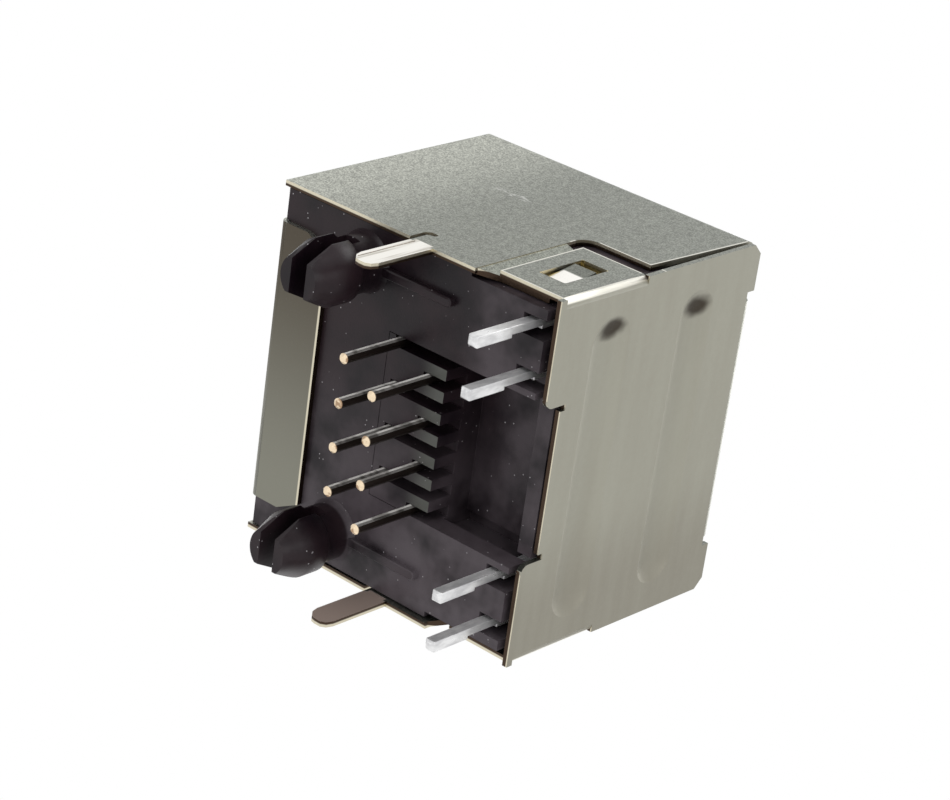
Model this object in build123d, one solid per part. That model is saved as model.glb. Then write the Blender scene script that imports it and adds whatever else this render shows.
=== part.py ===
from build123d import *
import math
import os

os.makedirs("parts", exist_ok=True)

# Frame: the origin is on the board's top face, midway between the two locating pegs.
# X runs across the mouth, the mouth faces -Y and Z is up from the board. Units are mm.

# Shield sheet and outside envelope
SHEET = 0.25
SHIELD_W = 16.70
SHIELD_TOP = 13.72
SHIELD_FRONT = -5.01
SHIELD_REAR = 10.66
BEND_IN = 0.20
COVER_BEND_IN = 0.25
FLAP_BEND_IN = 0.15

# Side walls: lower edges, sloping rear edge, cut-out round the flap
WALL_LOW_FRONT = 0.25
WALL_LOW_REAR = 0.0
WALL_REAR_GAP = 0.16
WALL_REAR_LEAN = 0.40
CUT_GAP_Y = 0.69
CUT_GAP_Z = 1.05
CUT_R = 0.70

# Inner tongues behind the flaps, and their latch teeth
JOGGLE_GAP = 0.04
JOGGLE_LEN = 0.81
JOGGLE_ROOT = 0.40
JOGGLE_R = 0.30
TONGUE_IN = 0.265
TONGUE_TOP_GAP = 0.23
TONGUE_REAR_GAP = 0.74
TONGUE_SLANT = 0.17
TONGUE_LIFT = 0.08
TOOTH_GAP = 0.13
TOOTH_TIP_GAP = 0.62
TOOTH_ROOT = 0.30
TOOTH_R = 0.25
LANCE_GAP = 0.08

# Board tabs, the crease down each tab and the relief slits in front of them
TAB_Y0 = 2.66
TAB_W = 1.26
TAB_TIP = -3.70
TAB_ROOT = 1.00
CREASE_Y = 0.22
CREASE_W = 0.08
CREASE_DEEP = 0.05
CREASE_TOP = 0.20
SLIT_W = 0.26
SLIT_TOP = 1.38
SLIT_HOOK = 0.36

# Latch flaps of the rear cover
FLAP_LEN = 3.66
FLAP_Z0 = 0.78
FLAP_Z1 = 6.00
FLAP_ROOT = 1.20
WIN_EDGE = 0.96
WIN_LEN = 1.40
WIN_Z0 = 2.10
WIN_Z1 = 4.86
WIN_R = 0.12

# Rear cover: feet, ears, bend reliefs and pressed ribs
COVER_LOW = 0.44
COVER_MID_LOW = 1.41
COVER_LAP = 0.03
FOOT_R = 0.40
STEP_NOTCH = 0.28
COVER_CORNER = 0.70
EAR_W = 2.20
EAR_CHAMFER = 0.47
RELIEF_W = 0.45
RELIEF_DEEP = 0.45
RIB_DEPTH = 0.28
RIB_MARGIN = 1.37
RIB_Z = ((2.87, 5.27), (8.62, 10.82))

# Front plate, its corner notches and the lip under the housing
FRONT_SEAM = 0.04
FRONT_NOTCH_Z = 1.10
LIP_INSET = 1.78
LIP_CLIP = 0.62
LIP_LEN = 3.02
LIP_CLIP_LEN = 1.25
MOUTH_RIM = 0.45
LED_WINDOW_GAP = 0.075
WINDOW_R = 0.15

# Ground springs at the sides of the mouth: distance out from the mouth, and back from the front
SPRING_Z0 = 5.20
SPRING_Z1 = 7.20
SPRING_ROOT = 0.50
SPRING_R = 0.25
SPRING_OUT = (0.21, -0.27, 0.13)
SPRING_BACK = (0.95, 2.15, 3.75)
SPRING_ROOM = 0.10
SPRING_REAR_ROOM = 0.60

# Housing round the plug
HOUSE_GAP = 0.055
REAR_GAP = 0.03
UNDERSIDE = 0.33
RIM_BACK = 0.02
RIM_GAP = 0.05
TOE_BEVEL = 0.20
MOUTH_X = 5.85
MOUTH_Z0 = 3.20
MOUTH_Z1 = 9.95
KEY_X = 3.05
KEY_H = 1.40
KEY_REAR_GAP = 2.00
CATCH_X = 1.70
CATCH_H = 0.95
CATCH_WALL = 1.41
CATCH_THROAT = 1.00
TONGUE_GAP = 0.05
TONGUE_FRONT_GAP = 0.25
BEND_RELIEF = 0.22
TOP_CHAMFER = 0.35
REAR_R = 0.35

# Standoff ribs under the housing; their front ends ramp up beside the pegs
STANDOFF_W = 0.42
STANDOFF_Y0 = 1.21
STANDOFF_Y1 = 5.25
STANDOFF_SEAT = 0.50
STANDOFF_RAMP = 0.08
STANDOFF_EDGE = 0.06

# Locating pegs
PEG_EDGE = 1.695
PEG_R = 1.28
PEG_ROOT_R = 1.42
PEG_ROOT_Z = 0.06
PEG_BARB_R = 1.50
PEG_FLANK = 0.08
PEG_TIP_R = 1.02
PEG_TIP_HALF = 0.78
PEG_NECK_Z = -1.08
PEG_BARB_Z0 = -1.38
PEG_BARB_Z1 = -2.35
PEG_TIP_Z = -3.68
PEG_SLOT_W = 0.88
PEG_SLOT_TOP = -0.60

# Contacts: spring wire, drawn with twelve sides
PITCH = 1.02
WIRE_D = 0.46
WIRE_SIDES = 12
WIRE_TIP = 0.11
TAIL_TIP = -3.18
ROW_A_Y = 2.54
ROW_GAP = 1.78
RUN_DEPTH = 0.90
TAIL_BEND_R = 0.50
HAIRPIN_R = 0.50
HAIRPIN_BACK = 0.85
RISE_DEG = 20.0
FREE_END_IN = 0.70
WIRE_GAP = 0.05

# Contact carrier: slab, comb, tower and low rear wall
CARRIER_GAP = 0.03
CARRIER_SETBACK = 0.90
CARRIER_SHOULDER = 0.46
CARRIER_TOP_DROP = 0.95
SLAB_LOW = 1.07
GRIP_BACK = 3.10
COMB_RIB_W = 0.50
COMB_EDGE = 0.27
COMB_BACK = 0.98
COMB_WALL = 0.37
COMB_SLOT_UP = 0.30
SLOT_LEAD = 0.27
RECESS_Z = 2.95
RECESS_WALL = 0.55
MOUTH_WALL = 0.09
REST_BACK = 0.70
REST_BELOW = 2.30
REST_ABOVE = 0.90
LOW_WALL_INSET = 0.24
LOW_WALL_Z = 1.41
LOW_WALL_TOP = 2.62
LOW_WALL_GAP = 0.09

# Indicator lamps and their square leads
LED_W = 3.00
LED_H = 2.40
LED_LEN = 6.65
LED_EDGE = 0.82
LED_TOP_GAP = 0.42
LED_R = 0.20
LEAD = 0.50
LEAD_INSET = 0.355
LEAD_BACK = 0.90
LEAD_TIP = -3.12
LEAD_NECK_Z = -0.90
LEAD_NECK_W = 0.35
LEAD_NECK_UP = 0.60
LEAD_EMBED = 3.00
LEAD_BEND_OUT = 0.70
LEAD_GAP = 0.03
LEAD_CHAMFER = 0.10
GROOVE_W = 0.90
GROOVE_GAP = 0.06

# How far a cutting solid runs past what it cuts, and a fused one into its neighbour
BEYOND = 1.0
BITE = 0.1

# Shield sizes that follow from the ones above
WALL_OUT = SHIELD_W / 2
WALL_IN = WALL_OUT - SHEET
WALL_MID = WALL_OUT - SHEET / 2
TOP_IN = SHIELD_TOP - SHEET
FRONT_IN = SHIELD_FRONT + SHEET
COVER_IN = SHIELD_REAR - SHEET
BEND_OUT = BEND_IN + SHEET
WALL_REAR_TOP = COVER_IN - WALL_REAR_GAP
WALL_REAR_LOW = WALL_REAR_TOP - WALL_REAR_LEAN
FLAP_Y0 = SHIELD_REAR - FLAP_LEN
WIN_Y0 = FLAP_Y0 + WIN_EDGE
WIN_Y1 = WIN_Y0 + WIN_LEN
CUT_Y = FLAP_Y0 - CUT_GAP_Y
CUT_Z = FLAP_Z1 + CUT_GAP_Z
JOGGLE_Y1 = FLAP_Y0 - JOGGLE_GAP
JOGGLE_Y0 = JOGGLE_Y1 - JOGGLE_LEN
TONGUE_X = WALL_MID - TONGUE_IN
TONGUE_Z0 = FLAP_Z0 + TONGUE_LIFT
TONGUE_Z1 = FLAP_Z1 - TONGUE_TOP_GAP
TONGUE_REAR = COVER_IN - TONGUE_REAR_GAP
TAB_Y1 = TAB_Y0 + TAB_W
EAR_X0 = WALL_OUT - EAR_W
COVER_BEND_X = EAR_X0 - RELIEF_W
RELIEF_Z = SHIELD_TOP - RELIEF_DEEP
RIB_HALF_X = WALL_OUT - RIB_MARGIN
LIP_X_FRONT = WALL_OUT - LIP_INSET
LIP_X_REAR = LIP_X_FRONT - LIP_CLIP
LIP_REAR = SHIELD_FRONT + LIP_LEN
LIP_Y_CORNER = LIP_REAR - LIP_CLIP_LEN

# Housing, lamp and lead sizes that follow
HOUSE_X = WALL_IN - HOUSE_GAP
HOUSE_REAR = COVER_IN - RIB_DEPTH - REAR_GAP
RIM_Y = SHIELD_FRONT + RIM_BACK
PEG_X = HOUSE_X - PEG_EDGE
LED_X = HOUSE_X - LED_EDGE - LED_W / 2
LED_Z1 = TOP_IN - LED_TOP_GAP
LED_Z0 = LED_Z1 - LED_H
LED_REAR = SHIELD_FRONT + LED_LEN
LEAD_X = (LED_X - LED_W / 2 + LEAD_INSET, LED_X + LED_W / 2 - LEAD_INSET)
LEAD_Y = HOUSE_REAR - LEAD_BACK
LEAD_Z = LED_Z0 + LED_H / 2
GROOVE_Y = LEAD_Y - LEAD / 2 - GROOVE_GAP
WINDOW_X = MOUTH_X + MOUTH_RIM
WINDOW_Z0 = MOUTH_Z0 - MOUTH_RIM
WINDOW_Z1 = MOUTH_Z1 + MOUTH_RIM
LED_WINDOW_X = LED_X + LED_W / 2 + LED_WINDOW_GAP
LED_WINDOW_Z1 = LED_Z1 + LED_WINDOW_GAP

# Contact and carrier sizes that follow
WIRE_R = WIRE_D / 2
ROW_B_Y = ROW_A_Y + ROW_GAP
RUN_Z = MOUTH_Z0 - RUN_DEPTH
RAIL_X = 3.5 * PITCH + COMB_EDGE
CARRIER_X = RAIL_X + CARRIER_SHOULDER
CARRIER_FRONT = SHIELD_FRONT + CARRIER_SETBACK
CARRIER_Z0 = UNDERSIDE + SLAB_LOW
CARRIER_TOP = MOUTH_Z1 - CARRIER_TOP_DROP
COMB_SLOT_Z = CARRIER_Z0 + COMB_SLOT_UP
COMB_FRONT = ROW_A_Y - SLOT_LEAD - COMB_WALL
RECESS_Y0 = ROW_B_Y + COMB_BACK
RECESS_Y1 = HOUSE_REAR - RECESS_WALL
MOUTH_REAR = RECESS_Y0 - MOUTH_WALL
KEY_Z = MOUTH_Z1 + KEY_H
KEY_REAR = MOUTH_REAR - KEY_REAR_GAP
CATCH_Z = KEY_Z + CATCH_H
CATCH_Y = SHIELD_FRONT + CATCH_WALL
LOW_WALL_X = RAIL_X - LOW_WALL_INSET
LOW_WALL_REAR = COVER_IN - LOW_WALL_GAP
COVER_MID_X = LOW_WALL_X - COVER_LAP
RISE = math.radians(RISE_DEG)
HAIRPIN_Y = CARRIER_FRONT + HAIRPIN_BACK
HAIRPIN_Z = RUN_Z + HAIRPIN_R
LIFT_Y = HAIRPIN_Y - HAIRPIN_R * math.sin(RISE)
LIFT_Z = HAIRPIN_Z + HAIRPIN_R * math.cos(RISE)
FREE_END_Y = MOUTH_REAR + FREE_END_IN
FREE_END_Z = LIFT_Z + (FREE_END_Y - LIFT_Y) * math.tan(RISE)


def block(x0, x1, y0, y1, z0, z1):
    """Box between two opposite corners."""
    centre = Pos((x0 + x1) / 2, (y0 + y1) / 2, (z0 + z1) / 2)
    return centre * Box(abs(x1 - x0), abs(y1 - y0), abs(z1 - z0))


def on_side(outline, x0, x1):
    """Prism of a (y, z) outline between two x planes."""
    face = make_face(Polyline(*outline, close=True))
    return Pos(x0, 0, 0) * extrude(Plane.YZ * face, amount=x1 - x0)


def on_rear(outline, y0, y1):
    """Prism of an (x, z) outline between two y planes, y0 below y1."""
    face = make_face(Polyline(*outline, close=True))
    return Pos(0, y1, 0) * extrude(Plane.XZ * face, amount=y1 - y0)


def strip_across(path, radius, x0, x1):
    """Folded sheet strip: its middle line in (y, z), its width along X."""
    face = trace(FilletPolyline(*path, radius=radius), line_width=SHEET)
    return Pos(x0, 0, 0) * extrude(Plane.YZ * face, amount=x1 - x0)


def strip_upright(path, radius, z0, z1):
    """Folded sheet strip: its middle line in (x, y), its width along Z."""
    face = trace(FilletPolyline(*path, radius=radius), line_width=SHEET)
    return Pos(0, 0, z0) * extrude(face, amount=z1 - z0)


def both_sides(solid):
    """A solid and its mirror image across the middle plane."""
    return solid + mirror(solid, about=Plane.YZ)


def build_wrap():
    """Top and side walls, folded along the two upper edges."""
    outer = block(-WALL_OUT, WALL_OUT, SHIELD_FRONT, WALL_REAR_TOP, WALL_LOW_REAR, SHIELD_TOP)
    outer = fillet(outer.edges().filter_by(Axis.Y).group_by(Axis.Z)[-1], BEND_OUT)
    inner = block(
        -WALL_IN, WALL_IN, SHIELD_FRONT - BEYOND, WALL_REAR_TOP + BEYOND, -BEYOND, TOP_IN
    )
    inner = fillet(inner.edges().filter_by(Axis.Y).group_by(Axis.Z)[-1], BEND_IN)
    wrap = outer - inner
    x0 = WALL_IN - BITE
    x1 = WALL_OUT + BEYOND
    low_front = block(x0, x1, SHIELD_FRONT - BEYOND, TAB_Y0, -BEYOND, WALL_LOW_FRONT)
    slope = on_side(
        [
            (WALL_REAR_LOW, CUT_Z - BITE),
            (WALL_REAR_TOP + BEYOND, CUT_Z - BITE),
            (WALL_REAR_TOP + BEYOND, SHIELD_TOP - BEND_OUT),
            (WALL_REAR_TOP, SHIELD_TOP - BEND_OUT),
            (WALL_REAR_LOW, CUT_Z),
        ],
        x0,
        x1,
    )
    opening = block(x0, x1, CUT_Y, WALL_REAR_TOP + BEYOND, -BEYOND, CUT_Z)
    corner = opening.edges().filter_by(Axis.X).group_by(Axis.Y)[0].group_by(Axis.Z)[-1]
    opening = fillet(corner, CUT_R)
    return wrap - both_sides(low_front + slope + opening)


def build_tab():
    """Solder tab at the lower edge of the +X wall, with a pressed crease along it."""
    tab = on_side(
        [
            (TAB_Y0, TAB_ROOT),
            (TAB_Y0, TAB_TIP + 0.75),
            (TAB_Y0 + 0.10, TAB_TIP + 0.38),
            (TAB_Y0 + 0.38, TAB_TIP + 0.06),
            (TAB_Y0 + 0.62, TAB_TIP),
            (TAB_Y1 - 0.32, TAB_TIP),
            (TAB_Y1 - 0.10, TAB_TIP + 0.16),
            (TAB_Y1, TAB_TIP + 0.50),
            (TAB_Y1, TAB_ROOT),
        ],
        WALL_IN,
        WALL_OUT,
    )
    crease = block(
        WALL_OUT - CREASE_DEEP,
        WALL_OUT + BEYOND,
        TAB_Y0 + CREASE_Y,
        TAB_Y0 + CREASE_Y + CREASE_W,
        TAB_TIP + 0.30,
        CREASE_TOP,
    )
    return tab - crease


def build_slit():
    """Relief slit in front of the tab, hooked toward the rear at its top."""
    return on_side(
        [
            (TAB_Y0 - SLIT_W, -BEYOND),
            (TAB_Y0 - SLIT_W, SLIT_TOP - 0.20),
            (TAB_Y0 - SLIT_W + 0.20, SLIT_TOP),
            (TAB_Y0 + SLIT_HOOK - 0.06, SLIT_TOP),
            (TAB_Y0 + SLIT_HOOK, SLIT_TOP - 0.13),
            (TAB_Y0 + SLIT_HOOK - 0.06, SLIT_TOP - 0.26),
            (TAB_Y0 + 0.10, SLIT_TOP - 0.32),
            (TAB_Y0, SLIT_TOP - 0.50),
            (TAB_Y0, -BEYOND),
        ],
        WALL_IN - BITE,
        WALL_OUT + BITE,
    )


def build_tooth():
    """Latch tooth lanced out of the +X tongue, leaning out into the flap's window."""
    y0 = WIN_Y0 + TOOTH_GAP
    y1 = WIN_Y1 - TOOTH_GAP
    foot = WIN_Z0 + TOOTH_GAP
    path = [(TONGUE_X, foot - TOOTH_ROOT), (TONGUE_X, foot), (WALL_MID, WIN_Z1 - TOOTH_TIP_GAP)]
    face = trace(FilletPolyline(*path, radius=TOOTH_R), line_width=SHEET)
    tooth = Pos(0, y1, 0) * extrude(Plane.XZ * face, amount=y1 - y0)
    lanced = block(
        WALL_IN - BEYOND, WALL_OUT + BEYOND, y0 - LANCE_GAP, y1 + LANCE_GAP, foot, WIN_Z1 - TOOTH_GAP
    )
    return tooth, lanced


def build_tongue():
    """Inner tongue behind the +X flap, set in by a joggle, with its latch tooth."""
    path = [
        (WALL_MID, JOGGLE_Y0 - JOGGLE_ROOT),
        (WALL_MID, JOGGLE_Y0),
        (TONGUE_X, JOGGLE_Y1),
        (TONGUE_X, TONGUE_REAR),
    ]
    tongue = strip_upright(path, JOGGLE_R, WALL_LOW_REAR, TONGUE_Z1)
    slant = on_side(
        [
            (CUT_Y - TONGUE_SLANT, WALL_LOW_REAR - BITE),
            (CUT_Y - TONGUE_SLANT, WALL_LOW_REAR),
            (FLAP_Y0, TONGUE_Z0),
            (SHIELD_REAR, TONGUE_Z0),
            (SHIELD_REAR, WALL_LOW_REAR - BITE),
        ],
        WALL_IN - BEYOND,
        WALL_OUT + BEYOND,
    )
    tooth, lanced = build_tooth()
    return tongue - slant - lanced + tooth


def build_flap():
    """Latch flap folded forward from the +X edge of the rear cover."""
    back = SHIELD_REAR - SHEET / 2
    path = [(WALL_MID, FLAP_Y0), (WALL_MID, back), (WALL_OUT - FLAP_ROOT, back)]
    flap = strip_upright(path, FLAP_BEND_IN + SHEET / 2, FLAP_Z0, FLAP_Z1)
    window = block(WALL_IN - BEYOND, WALL_OUT + BEYOND, WIN_Y0, WIN_Y1, WIN_Z0, WIN_Z1)
    window = fillet(window.edges().filter_by(Axis.X), WIN_R)
    return flap - window


def build_rib(low, high):
    """Pressed rib of the cover between two heights: its bulge inside and its dent outside."""
    half_w = (high - low) / 2
    radius = (half_w**2 + RIB_DEPTH**2) / (2 * RIB_DEPTH)
    centre_y = SHIELD_REAR - RIB_DEPTH + radius
    reach = RIB_HALF_X - half_w
    axis = Pos(0, centre_y, (low + high) / 2)
    solids = []
    for r in (radius + SHEET, radius):
        ball = Pos(reach, 0, 0) * Sphere(r)
        solids.append(axis * (Rot(0, 90, 0) * Cylinder(r, 2 * reach) + both_sides(ball)))
    inside = block(
        -WALL_IN, WALL_IN, COVER_IN - RIB_DEPTH - BITE, COVER_IN + BITE, COVER_LOW, SHIELD_TOP
    )
    return solids[0] & inside, solids[1]


def build_cover():
    """Rear cover: plate, feet, ears and two pressed ribs."""
    outline = [
        (WALL_OUT, COVER_LOW),
        (WALL_OUT, SHIELD_TOP - EAR_CHAMFER),
        (WALL_OUT - EAR_CHAMFER, SHIELD_TOP),
        (EAR_X0, SHIELD_TOP),
        (EAR_X0, RELIEF_Z),
        (-EAR_X0, RELIEF_Z),
        (-EAR_X0, SHIELD_TOP),
        (-WALL_OUT + EAR_CHAMFER, SHIELD_TOP),
        (-WALL_OUT, SHIELD_TOP - EAR_CHAMFER),
        (-WALL_OUT, COVER_LOW),
    ]
    y0 = COVER_IN - BEYOND
    y1 = SHIELD_REAR + BEYOND
    plate = on_rear(outline, COVER_IN, SHIELD_REAR)
    step = block(-COVER_MID_X, COVER_MID_X, y0, y1, -BEYOND, COVER_MID_LOW)
    notch = block(COVER_MID_X - STEP_NOTCH, COVER_MID_X, y0, y1, 0, COVER_MID_LOW + STEP_NOTCH)
    plate = plate - step - both_sides(notch)
    feet = plate.edges().filter_by(Axis.Y).group_by(Axis.Z)[0]
    plate = fillet(feet.filter_by_position(Axis.X, -COVER_MID_X - BITE, COVER_MID_X + BITE), FOOT_R)
    corner = block(WALL_OUT - COVER_CORNER, WALL_OUT + BEYOND, y0, y1, FLAP_Z0, FLAP_Z1)
    plate = plate - both_sides(corner)
    for low, high in RIB_Z:
        bulge, dent = build_rib(low, high)
        plate = plate + bulge - dent
    back = SHIELD_REAR - SHEET / 2
    top = SHIELD_TOP - SHEET / 2
    path = [(WALL_REAR_TOP - BEYOND, top), (back, top), (back, RELIEF_Z - BEND_OUT)]
    fold = strip_across(path, COVER_BEND_IN + SHEET / 2, -COVER_BEND_X, COVER_BEND_X)
    return plate + fold


def build_spring():
    """Ground spring at the +X edge of the mouth, bowed in toward the plug."""
    face_y = SHIELD_FRONT + SHEET / 2
    bowed = [
        (MOUTH_X + out, SHIELD_FRONT + back) for out, back in zip(SPRING_OUT, SPRING_BACK)
    ]
    path = [(WINDOW_X + SPRING_ROOT, face_y), (MOUTH_X + SPRING_OUT[0], face_y)] + bowed
    return strip_upright(path, SPRING_R, SPRING_Z0, SPRING_Z1)


def build_front():
    """Front plate folded from the top, with its windows and the lip under the housing."""
    face_y = SHIELD_FRONT + SHEET / 2
    top = SHIELD_TOP - SHEET / 2
    low = UNDERSIDE - SHEET / 2
    half = WALL_IN - FRONT_SEAM
    path = [
        (SHIELD_FRONT + BEND_OUT + BEYOND, top),
        (face_y, top),
        (face_y, low),
        (LIP_REAR, low),
    ]
    plate = strip_across(path, BEND_IN + SHEET / 2, -half, half)
    side = block(
        LIP_X_FRONT, half + BEYOND, SHIELD_FRONT - BEYOND, LIP_REAR + BEYOND, -BEYOND, FRONT_NOTCH_Z
    )
    clip = Polyline(
        (LIP_X_FRONT + BITE, LIP_Y_CORNER),
        (LIP_X_FRONT, LIP_Y_CORNER),
        (LIP_X_REAR, LIP_REAR),
        (LIP_X_FRONT + BITE, LIP_REAR),
        close=True,
    )
    corner = extrude(make_face(clip), amount=UNDERSIDE)
    y0 = SHIELD_FRONT - BEYOND
    y1 = SHIELD_FRONT + BEND_OUT
    mouth = block(-WINDOW_X, WINDOW_X, y0, y1, WINDOW_Z0, WINDOW_Z1)
    lamps = block(-LED_WINDOW_X, LED_WINDOW_X, y0, y1, WINDOW_Z1 - BITE, LED_WINDOW_Z1)
    window = fillet((mouth + lamps).edges().filter_by(Axis.Y), WINDOW_R)
    return plate - both_sides(side + corner) - window + both_sides(build_spring())


def build_shield():
    """The whole shield, one folded sheet."""
    wrap = build_wrap()
    front_strip = block(
        -WALL_IN,
        WALL_IN,
        SHIELD_FRONT - BEYOND,
        SHIELD_FRONT + BEND_OUT,
        TOP_IN - BEND_IN,
        SHIELD_TOP + BEYOND,
    )
    wrap = wrap - front_strip - both_sides(build_slit())
    sides = both_sides(build_tab() + build_tongue() + build_flap())
    return wrap + sides + build_front() + build_cover()


def build_peg():
    """Split locating peg on the +X side, with a barb below the neck."""
    profile = Polyline(
        (0, UNDERSIDE + BITE),
        (PEG_ROOT_R, UNDERSIDE + BITE),
        (PEG_ROOT_R, UNDERSIDE),
        (PEG_R, PEG_ROOT_Z),
        (PEG_R, PEG_NECK_Z),
        (PEG_BARB_R, PEG_BARB_Z0),
        (PEG_BARB_R, PEG_BARB_Z1),
        (PEG_TIP_R, PEG_TIP_Z),
        (0, PEG_TIP_Z),
        close=True,
    )
    peg = revolve(Plane.XZ * make_face(profile), axis=Axis.Z)
    flank = on_rear(
        [
            (PEG_BARB_R - PEG_FLANK, PEG_NECK_Z),
            (PEG_BARB_R - PEG_FLANK, PEG_BARB_Z1),
            (PEG_TIP_HALF, PEG_TIP_Z),
            (PEG_TIP_HALF, PEG_TIP_Z - BEYOND),
            (PEG_BARB_R + BEYOND, PEG_TIP_Z - BEYOND),
            (PEG_BARB_R + BEYOND, PEG_NECK_Z),
        ],
        -PEG_BARB_R,
        PEG_BARB_R,
    )
    slot = block(
        -PEG_BARB_R - BEYOND,
        PEG_BARB_R + BEYOND,
        -PEG_SLOT_W / 2,
        PEG_SLOT_W / 2,
        PEG_TIP_Z - BEYOND,
        PEG_SLOT_TOP,
    )
    return Pos(PEG_X, 0, 0) * (peg - both_sides(flank) - slot)


def build_standoff():
    """Standoff rib on the +X side of the underside; the jack stands on its flat."""
    length = STANDOFF_Y1 - STANDOFF_Y0
    place = Pos(PEG_X, (STANDOFF_Y0 + STANDOFF_Y1) / 2) * Rot(0, 0, 90)
    rib = extrude(place * SlotOverall(length, STANDOFF_W), amount=UNDERSIDE + BITE)
    rib = chamfer(rib.faces().sort_by(Axis.Z)[0].edges(), STANDOFF_EDGE)
    ramp = on_side(
        [
            (STANDOFF_Y0 - BITE, STANDOFF_RAMP),
            (STANDOFF_Y0 + STANDOFF_SEAT, 0),
            (STANDOFF_Y0 + STANDOFF_SEAT, -BITE),
            (STANDOFF_Y0 - BITE, -BITE),
        ],
        PEG_X - STANDOFF_W,
        PEG_X + STANDOFF_W,
    )
    return rib - ramp


def build_groove(x):
    """Room for the upright stretch of a lamp lead, open at the rear."""
    half = GROOVE_W / 2
    return block(x - half, x + half, GROOVE_Y, LOW_WALL_REAR + BEYOND, -BEYOND, TOP_IN + BEYOND)


def build_lamp_pocket():
    """Room for the +X lamp, for its leads along the top and for their bends."""
    pocket = block(
        LED_X - LED_W / 2, LED_X + LED_W / 2, RIM_Y - BEYOND, LED_REAR, LED_Z0, TOP_IN + BEYOND
    )
    for x in LEAD_X:
        half = LEAD / 2 + LEAD_GAP
        floor = LEAD_Z - LEAD / 2
        channel = block(
            x - half, x + half, LED_REAR - BITE, HOUSE_REAR + BEYOND, floor, TOP_IN + BEYOND
        )
        bend = on_side(
            [
                (GROOVE_Y - LEAD / 2, floor),
                (GROOVE_Y + BITE, floor),
                (GROOVE_Y + BITE, floor - LEAD / 2),
                (GROOVE_Y, floor - LEAD / 2),
            ],
            x - half,
            x + half,
        )
        pocket = pocket + channel + build_groove(x) + bend
    return pocket


def build_plug_cavity():
    """Mouth, latch keyway and catch pocket of the plug."""
    front = RIM_Y - BEYOND
    mouth = block(-MOUTH_X, MOUTH_X, front, MOUTH_REAR, MOUTH_Z0, MOUTH_Z1)
    key = block(-KEY_X, KEY_X, front, KEY_REAR, MOUTH_Z1 - BITE, KEY_Z)
    throat = block(-CATCH_X, CATCH_X, front, CATCH_Y + CATCH_THROAT, KEY_Z - BITE, CATCH_Z)
    catch = block(-KEY_X, KEY_X, CATCH_Y, KEY_REAR, KEY_Z - BITE, CATCH_Z)
    return mouth + key + throat + catch


def build_carrier_room():
    """Room for the carrier's slab, its comb and its tower."""
    slab = block(
        -CARRIER_X - CARRIER_GAP,
        CARRIER_X + CARRIER_GAP,
        CARRIER_FRONT - CARRIER_GAP,
        HOUSE_REAR + BEYOND,
        CARRIER_Z0,
        MOUTH_Z0,
    )
    comb = block(
        -RAIL_X, RAIL_X, COMB_FRONT - CARRIER_GAP, HOUSE_REAR + BEYOND, -BEYOND, CARRIER_Z0 + BITE
    )
    tower = block(
        -RAIL_X, RAIL_X, MOUTH_REAR - BITE, HOUSE_REAR + BEYOND, MOUTH_Z0 - BITE, CARRIER_TOP + CARRIER_GAP
    )
    return slab + comb + tower


def build_housing():
    """Black housing: front rim, plug cavity, carrier room, pockets, pegs and standoffs."""
    body = block(-HOUSE_X, HOUSE_X, FRONT_IN, HOUSE_REAR, UNDERSIDE, TOP_IN)
    body = fillet(body.edges().filter_by(Axis.Z).group_by(Axis.Y)[-1], REAR_R)
    body = chamfer(body.edges().filter_by(Axis.Y).group_by(Axis.Z)[-1], TOP_CHAMFER)
    body = chamfer(body.faces().sort_by(Axis.Y)[0].edges().filter_by(Axis.X), BEND_RELIEF)

    rim_x = WINDOW_X - RIM_GAP
    brow_x = LED_WINDOW_X - RIM_GAP
    rim = block(-rim_x, rim_x, RIM_Y, 0, WINDOW_Z0 + RIM_GAP, WINDOW_Z1)
    brow = block(-brow_x, brow_x, RIM_Y, 0, WINDOW_Z1 - BITE + RIM_GAP, LED_WINDOW_Z1 - RIM_GAP)
    toe = block(LIP_X_FRONT + RIM_GAP, HOUSE_X, RIM_Y, 0, UNDERSIDE, FRONT_NOTCH_Z - RIM_GAP)
    toe = chamfer(toe.edges().filter_by(Axis.X).group_by(Axis.Z)[0].sort_by(Axis.Y)[0], TOE_BEVEL)
    body = body + rim + brow + both_sides(toe)

    tongue = block(
        TONGUE_X - SHEET / 2 - TONGUE_GAP,
        WALL_OUT + BEYOND,
        JOGGLE_Y0 - TONGUE_FRONT_GAP,
        HOUSE_REAR + BEYOND,
        -BEYOND,
        TONGUE_Z1 + TONGUE_GAP,
    )
    spring = block(
        MOUTH_X - BITE,
        WINDOW_X + SPRING_ROOM,
        RIM_Y - BEYOND,
        SHIELD_FRONT + SPRING_BACK[-1] + SPRING_REAR_ROOM,
        SPRING_Z0 - SPRING_ROOM,
        SPRING_Z1 + SPRING_ROOM,
    )
    body = body - build_plug_cavity() - build_carrier_room()
    body = body - both_sides(build_lamp_pocket() + tongue + spring)
    return body + both_sides(build_peg() + build_standoff())


def contact_x(index):
    """Middle plane of a contact, counted from 0 at the +X end."""
    return (3.5 - index) * PITCH


def tail_y(index):
    """Tail row of a contact: the rows alternate along the jack."""
    return ROW_A_Y if index % 2 == 0 else ROW_B_Y


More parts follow.
